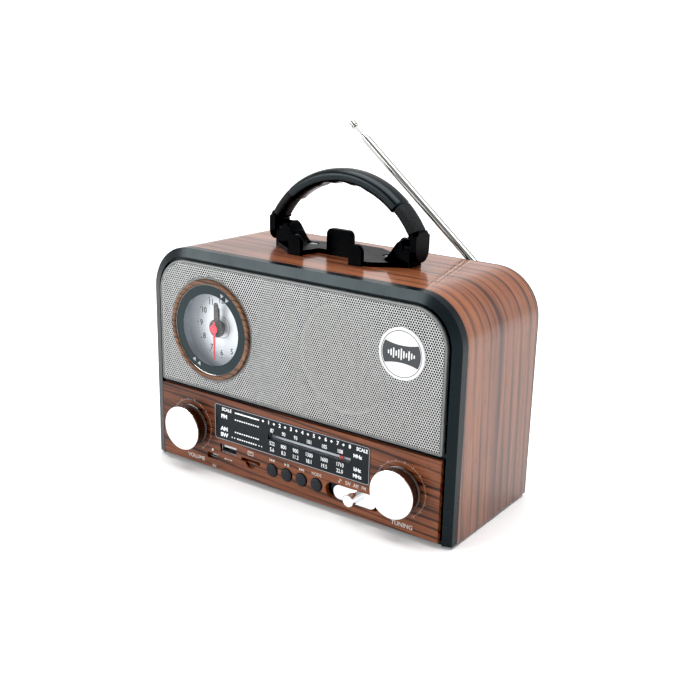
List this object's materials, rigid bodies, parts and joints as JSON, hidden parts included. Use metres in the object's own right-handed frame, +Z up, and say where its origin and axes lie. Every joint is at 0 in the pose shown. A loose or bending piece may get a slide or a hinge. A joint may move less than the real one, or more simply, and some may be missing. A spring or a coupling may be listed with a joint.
{
  "type": "portable table radio",
  "caption": "Portable wood-wrapped table radio with a round clock, slide-rule tuning dial, folding carry handle with phone cradle, and telescopic aerial.",
  "frame": {"origin": "on the floor under the middle of the whole footprint, knobs and aerial included", "axes": "+X to the radio's right as seen from the front, +Y to its back, +Z up"},
  "size_m": [0.24, 0.1194, 0.2342],
  "materials": {
    "wood_wrap": "gloss vinyl walnut wrap",
    "wood_panel": "satin walnut print",
    "black_plastic": "satin moulded",
    "grille_metal": "satin silver, perforated",
    "badge_face": "gloss printed",
    "dial_glass": "clear acrylic",
    "dial_print": "gloss black print",
    "pointer_red": "red moulded",
    "cord": "waxed cord",
    "nylon": "natural nylon",
    "ring_wood": "wood-print ring",
    "clock_glass": "clear lens with printed edge",
    "cup_grey": "satin grey",
    "dial_paper": "printed dial",
    "hand_black": "satin black",
    "hand_red": "satin red",
    "knob_brown": "gloss dark brown, knurled",
    "chrome": "polished",
    "steel": "plain",
    "button_black": "satin",
    "component": "moulded",
    "lamp": "milky",
    "board": "solder mask",
    "speaker_paper": "paper cone",
    "speaker_metal": "pressed steel",
    "ferrite": "ferrite with coil",
    "cell": "shrink sleeve",
    "rubber": "soft",
    "handle_smooth": "satin smooth",
    "handle_leather": "fine pebble grain"
  },
  "bodies": {
    "cabinet": {"cabinet_shell": "wood_wrap", "feet": "rubber", "front_frame": "black_plastic", "speaker_grille": "grille_metal", "control_panel": "wood_panel", "badge": "badge_face", "dial_lens": "dial_glass", "dial_plate": "dial_print", "dial_cord": "cord", "clock_bezel": "ring_wood", "clock_lens": "clock_glass", "clock_cup": "cup_grey", "clock_dial": "dial_paper", "clock_movement": "component", "volume_pot": "component", "tuning_capacitor": "component", "tact_switches": "component", "band_switch": "component", "usb_socket": "steel", "card_socket": "steel", "dc_socket": "steel", "power_lamp": "lamp", "main_board": "board", "port_board": "board", "speaker_basket": "speaker_metal", "speaker_cone": "speaker_paper", "ferrite_aerial": "ferrite", "battery_cell": "cell", "back_cover": "black_plastic", "cover_screws": "steel", "aerial_seat": "black_plastic", "handle_base": "black_plastic", "handle_screws": "steel"},
    "pointer": {"dial_pointer": "pointer_red"},
    "pulley": {"cord_pulley": "nylon"},
    "hour": {"hour_hand": "hand_black"},
    "minute": {"minute_hand": "hand_black"},
    "second": {"second_hand": "hand_red"},
    "volume": {"volume_knob": "knob_brown", "volume_cap": "chrome"},
    "tuning": {"tuning_knob": "knob_brown", "tuning_cap": "chrome", "tuning_shaft": "steel"},
    "key_1": {"button_1": "button_black"},
    "key_2": {"button_2": "button_black"},
    "key_3": {"button_3": "button_black"},
    "key_4": {"button_4": "button_black"},
    "band": {"band_slider": "chrome"},
    "door": {"battery_door": "black_plastic"},
    "aerial_foot": {"aerial_swivel": "chrome"},
    "aerial_1": {"aerial_tube_1": "chrome"},
    "aerial_2": {"aerial_tube_2": "chrome"},
    "aerial_3": {"aerial_tube_3": "chrome"},
    "aerial_4": {"aerial_tip": "chrome"},
    "handle": {"handle_grip": "handle_smooth", "handle_sleeve_left": "handle_leather", "handle_sleeve_right": "handle_leather", "handle_cap_left": "handle_smooth", "handle_cap_right": "handle_smooth"}
  },
  "joints": [
    {"name": "volume_turn", "type": "hinge", "parent": "cabinet", "child": "volume", "pos_m": [-0.085, -0.0456, 0.0308], "axis": [0, 1, 0], "range_deg": [-150, 150]},
    {"name": "tuning_turn", "type": "hinge", "parent": "cabinet", "child": "tuning", "pos_m": [0.085, -0.0456, 0.0308], "axis": [0, 1, 0], "range_deg": [-261.29, 38.71]},
    {"name": "pointer_slide", "type": "slide", "parent": "cabinet", "child": "pointer", "axis": [1, 0, 0], "range_m": [-0.0541, 0.0081]},
    {"name": "pulley_turn", "type": "hinge", "parent": "cabinet", "child": "pulley", "pos_m": [-0.026, -0.0391, 0.03964], "axis": [0, 1, 0], "range_deg": [-1035, 155]},
    {"name": "second_turn", "type": "hinge", "parent": "cabinet", "child": "second", "pos_m": [-0.0662, -0.0456, 0.101], "axis": [0, 1, 0], "continuous": true},
    {"name": "minute_turn", "type": "hinge", "parent": "cabinet", "child": "minute", "pos_m": [-0.0662, -0.0456, 0.101], "axis": [0, 1, 0], "continuous": true},
    {"name": "hour_turn", "type": "hinge", "parent": "cabinet", "child": "hour", "pos_m": [-0.0662, -0.0456, 0.101], "axis": [0, 1, 0], "continuous": true},
    {"name": "key_1_press", "type": "slide", "parent": "cabinet", "child": "key_1", "axis": [0, 1, 0], "range_m": [0, 0.0008], "stiffness_N_per_m": 400},
    {"name": "key_2_press", "type": "slide", "parent": "cabinet", "child": "key_2", "axis": [0, 1, 0], "range_m": [0, 0.0008], "stiffness_N_per_m": 400},
    {"name": "key_3_press", "type": "slide", "parent": "cabinet", "child": "key_3", "axis": [0, 1, 0], "range_m": [0, 0.0008], "stiffness_N_per_m": 400},
    {"name": "key_4_press", "type": "slide", "parent": "cabinet", "child": "key_4", "axis": [0, 1, 0], "range_m": [0, 0.0008], "stiffness_N_per_m": 400},
    {"name": "band_slide", "type": "slide", "parent": "cabinet", "child": "band", "axis": [1, 0, 0], "range_m": [-0.006, 0.003]},
    {"name": "door_open", "type": "hinge", "parent": "cabinet", "child": "door", "pos_m": [0, 0.0493, 0.0116], "axis": [-1, 0, 0], "range_deg": [0, 100]},
    {"name": "handle_fold", "type": "hinge", "parent": "cabinet", "child": "handle", "pos_m": [0, 0.008, 0.163], "axis": [1, 0, 0], "range_deg": [-90, 90]},
    {"name": "aerial_swing", "type": "hinge", "parent": "cabinet", "child": "aerial_foot", "pos_m": [0.0897, 0.0504, 0.132], "axis": [0, 1, 0], "range_deg": [-39.5, 140.5]},
    {"name": "aerial_tilt", "type": "hinge", "parent": "aerial_foot", "child": "aerial_1", "pos_m": [0.0897, 0.0554, 0.132], "axis": [-0.6361, 0, -0.7716], "range_deg": [0, 90]},
    {"name": "aerial_slide_2", "type": "slide", "parent": "aerial_1", "child": "aerial_2", "axis": [-0.7716, 0, 0.6361], "range_m": [0, 0.12]},
    {"name": "aerial_slide_3", "type": "slide", "parent": "aerial_2", "child": "aerial_3", "axis": [-0.7716, 0, 0.6361], "range_m": [0, 0.12]},
    {"name": "aerial_slide_4", "type": "slide", "parent": "aerial_3", "child": "aerial_4", "axis": [-0.7716, 0, 0.6361], "range_m": [0, 0.12]}
  ],
  "couplings": [
    {"joint": "pointer_slide", "follows": "tuning_turn", "m_per_rad": 0.011841},
    {"joint": "pulley_turn", "follows": "tuning_turn", "ratio": 3.947},
    {"joint": "minute_turn", "follows": "second_turn", "ratio": 0.016667},
    {"joint": "hour_turn", "follows": "second_turn", "ratio": 0.0013889}
  ]
}
